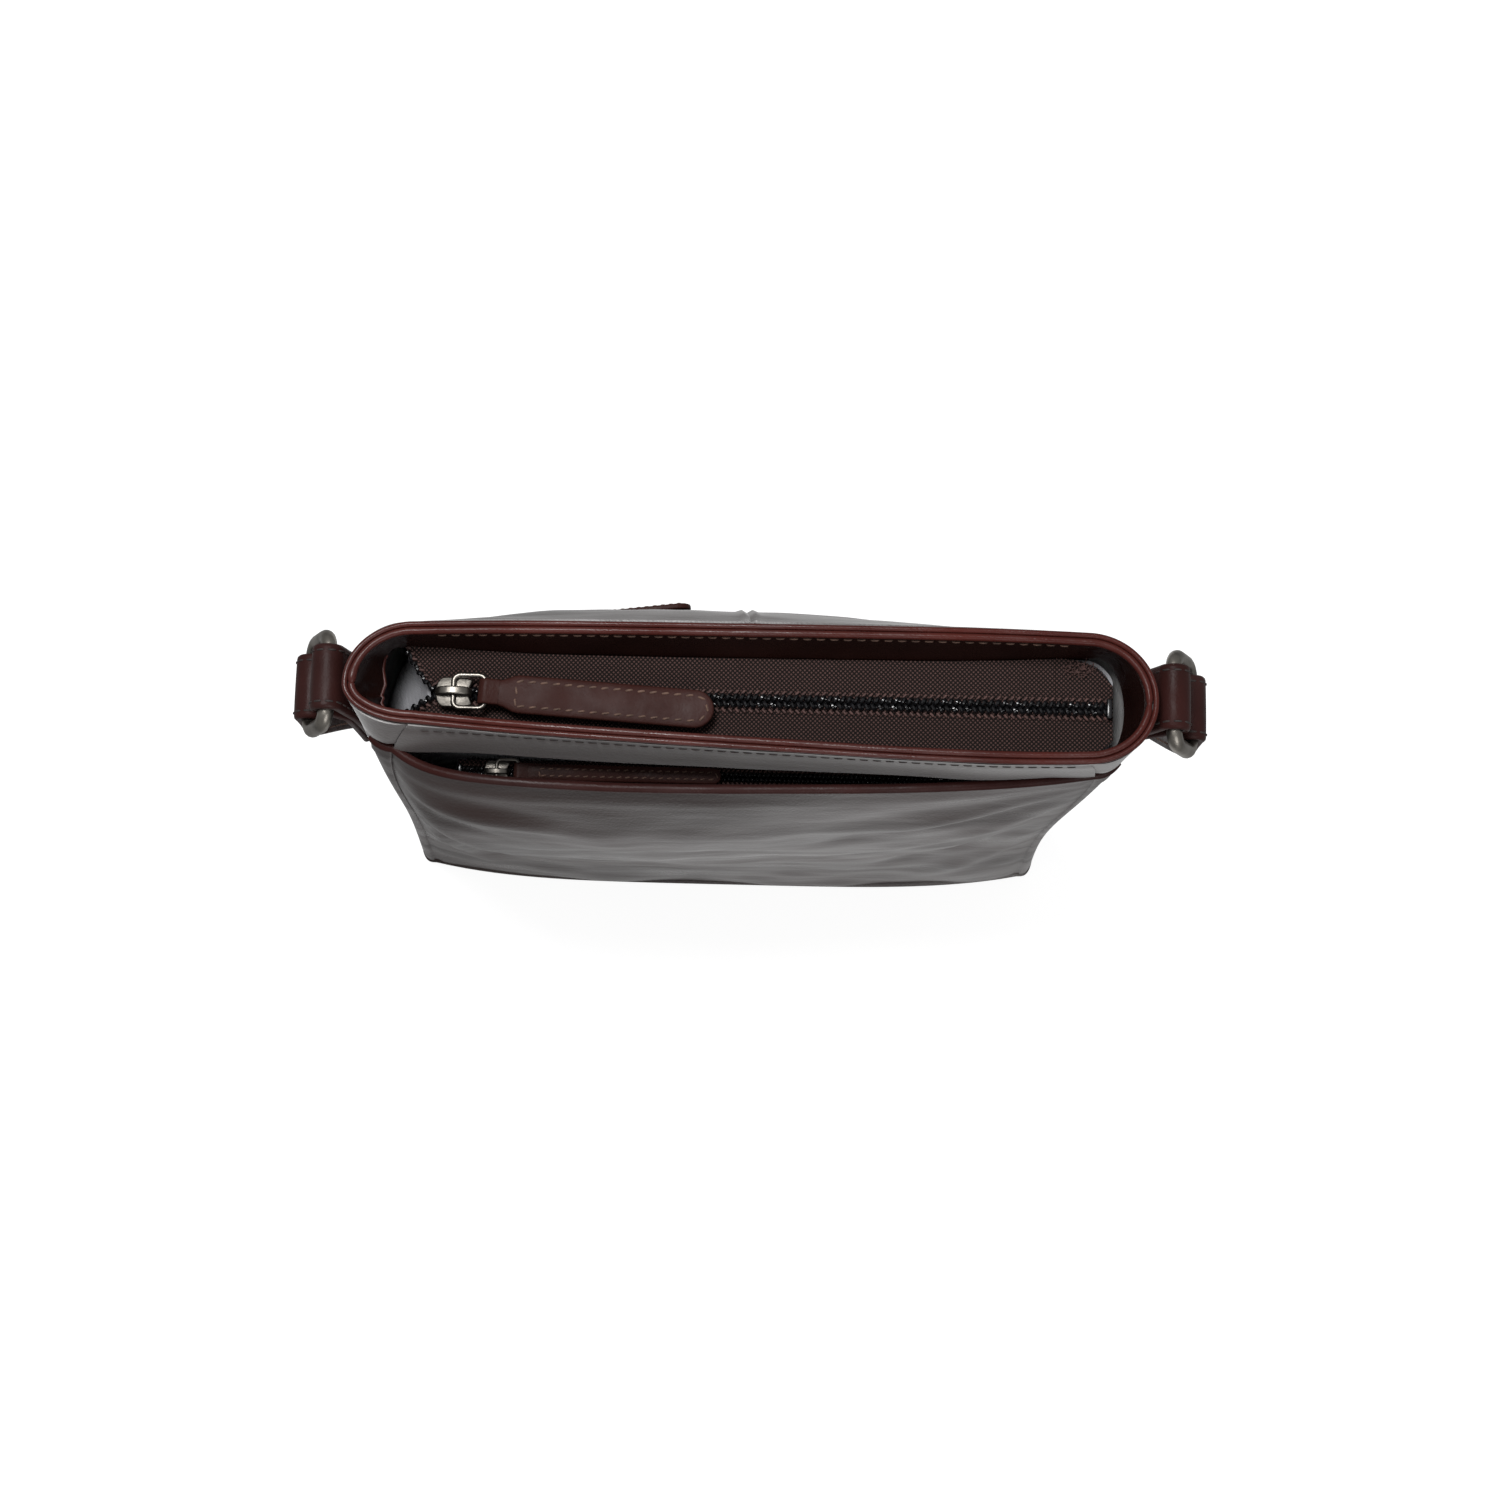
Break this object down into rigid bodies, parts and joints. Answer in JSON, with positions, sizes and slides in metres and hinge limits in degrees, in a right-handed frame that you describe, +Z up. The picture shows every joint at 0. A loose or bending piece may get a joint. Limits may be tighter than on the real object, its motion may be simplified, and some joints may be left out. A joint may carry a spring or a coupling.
{
  "type": "crossbody purse",
  "caption": "Slim leather crossbody purse with zipped top, front pocket under a yoke, back pocket, side rings on tabs and a narrow shoulder strap.",
  "frame": {"origin": "on the floor under the middle of the rim", "axes": "+X along the bag to the wearer's right in the picture, front towards -Y, +Z up"},
  "size_m": [0.2742, 0.1013, 0.2],
  "materials": {
    "leather": "satin, worn",
    "trim": "satin, rolled",
    "strap": "satin, stitched",
    "lining": "woven cotton",
    "board": "matt",
    "tape": "woven",
    "coil": "gloss",
    "metal": "antique nickel"
  },
  "bodies": {
    "bag": {"base_panel": "leather", "base_board": "board", "front_yoke": "leather", "front_pocket_panel": "leather", "front_pocket_edge": "trim", "back_yoke_left": "leather", "back_yoke_right": "leather", "back_pocket_panel": "leather", "gusset_left": "leather", "gusset_right": "leather", "lining_front": "lining", "lining_back": "lining", "facing_front": "leather", "facing_back": "leather", "rim_edge": "trim", "rim_roll": "trim", "tab_left": "leather", "tab_right": "leather", "main_zip_end": "coil", "main_zip_stop": "coil", "pocket_tape_front": "tape", "pocket_tape_back": "tape", "pocket_coil_front": "coil", "pocket_coil_back": "coil", "pocket_zip_stops": "coil", "back_tape_lower": "tape", "back_tape_upper": "tape", "back_coil_lower": "coil", "back_coil_upper": "coil", "back_zip_stops": "coil", "strap_left": "strap", "strap_right": "strap", "strap_hank": "strap"},
    "main_half_front": {"main_tape_front": "tape", "main_coil_front": "coil"},
    "main_half_back": {"main_tape_back": "tape", "main_coil_back": "coil"},
    "main_slider": {"main_slider": "metal"},
    "main_bail": {"main_bail": "metal"},
    "main_pull": {"main_pull": "trim"},
    "pocket_slider": {"pocket_slider": "metal"},
    "pocket_pull": {"pocket_bail": "metal", "pocket_pull": "trim"},
    "back_slider": {"back_slider": "metal"},
    "back_bail": {"back_bail": "metal"},
    "back_pull": {"back_pull": "trim"},
    "ring_left": {"ring_left": "metal", "strap_end_left": "strap"},
    "ring_right": {"ring_right": "metal", "strap_end_right": "strap"}
  },
  "joints": [
    {"name": "main_slide", "type": "slide", "parent": "bag", "child": "main_slider", "axis": [1, 0, 0], "range_m": [0, 0.185], "deforming": ["main_tape_front", "main_coil_front", "main_tape_back", "main_coil_back"]},
    {"name": "main_bail_lift", "type": "hinge", "parent": "main_slider", "child": "main_bail", "pos_m": [-0.088, 0, 0.1906], "axis": [0, -1, 0], "range_deg": [0, 32]},
    {"name": "main_pull_lift", "type": "hinge", "parent": "main_bail", "child": "main_pull", "pos_m": [-0.0785, 0, 0.1906], "axis": [0, -1, 0], "range_deg": [0, 60]},
    {"name": "main_front_drop", "type": "hinge", "parent": "bag", "child": "main_half_front", "pos_m": [0, -0.0126, 0.1857], "axis": [-0.9992, 0.0402, 0], "range_deg": [0, 80]},
    {"name": "main_back_drop", "type": "hinge", "parent": "bag", "child": "main_half_back", "pos_m": [0, 0.0164, 0.1857], "axis": [1, 0.0069, 0], "range_deg": [0, 80]},
    {"name": "pocket_slide", "type": "slide", "parent": "bag", "child": "pocket_slider", "axis": [1, 0, 0], "range_m": [0, 0.132], "deforming": ["pocket_tape_front", "pocket_tape_back", "pocket_coil_front", "pocket_coil_back"]},
    {"name": "pocket_pull_lift", "type": "hinge", "parent": "pocket_slider", "child": "pocket_pull", "pos_m": [-0.076, -0.01994, 0.17119], "axis": [0, -0.9903, -0.1392], "range_deg": [0, 176]},
    {"name": "back_slide", "type": "slide", "parent": "bag", "child": "back_slider", "axis": [1, 0.0075, 0], "range_m": [0, 0.096], "deforming": ["back_tape_lower", "back_tape_upper", "back_coil_lower", "back_coil_upper"]},
    {"name": "back_bail_lift", "type": "hinge", "parent": "back_slider", "child": "back_bail", "pos_m": [-0.06652, 0.0319, 0.15], "axis": [0, 0, 1], "range_deg": [0, 90]},
    {"name": "back_pull_lift", "type": "hinge", "parent": "back_bail", "child": "back_pull", "pos_m": [-0.05993, 0.03276, 0.15], "axis": [0, 0, 1], "range_deg": [0, 60]},
    {"name": "ring_left_swing", "type": "hinge", "parent": "bag", "child": "ring_left", "pos_m": [-0.1256, 0.003, 0.19], "axis": [0, 1, 0], "range_deg": [0, 90], "deforming": ["strap_left"]},
    {"name": "ring_right_swing", "type": "hinge", "parent": "bag", "child": "ring_right", "pos_m": [0.1256, 0.003, 0.19], "axis": [0, -1, 0], "range_deg": [0, 90], "deforming": ["strap_right"]}
  ],
  "couplings": [
    {"joint": "main_bail_lift", "follows": "main_slide", "rad_per_m": 3.01},
    {"joint": "main_front_drop", "follows": "main_slide", "rad_per_m": 7.54},
    {"joint": "main_back_drop", "follows": "main_slide", "rad_per_m": 7.54},
    {"joint": "pocket_pull_lift", "follows": "pocket_slide", "rad_per_m": 23.13}
  ]
}
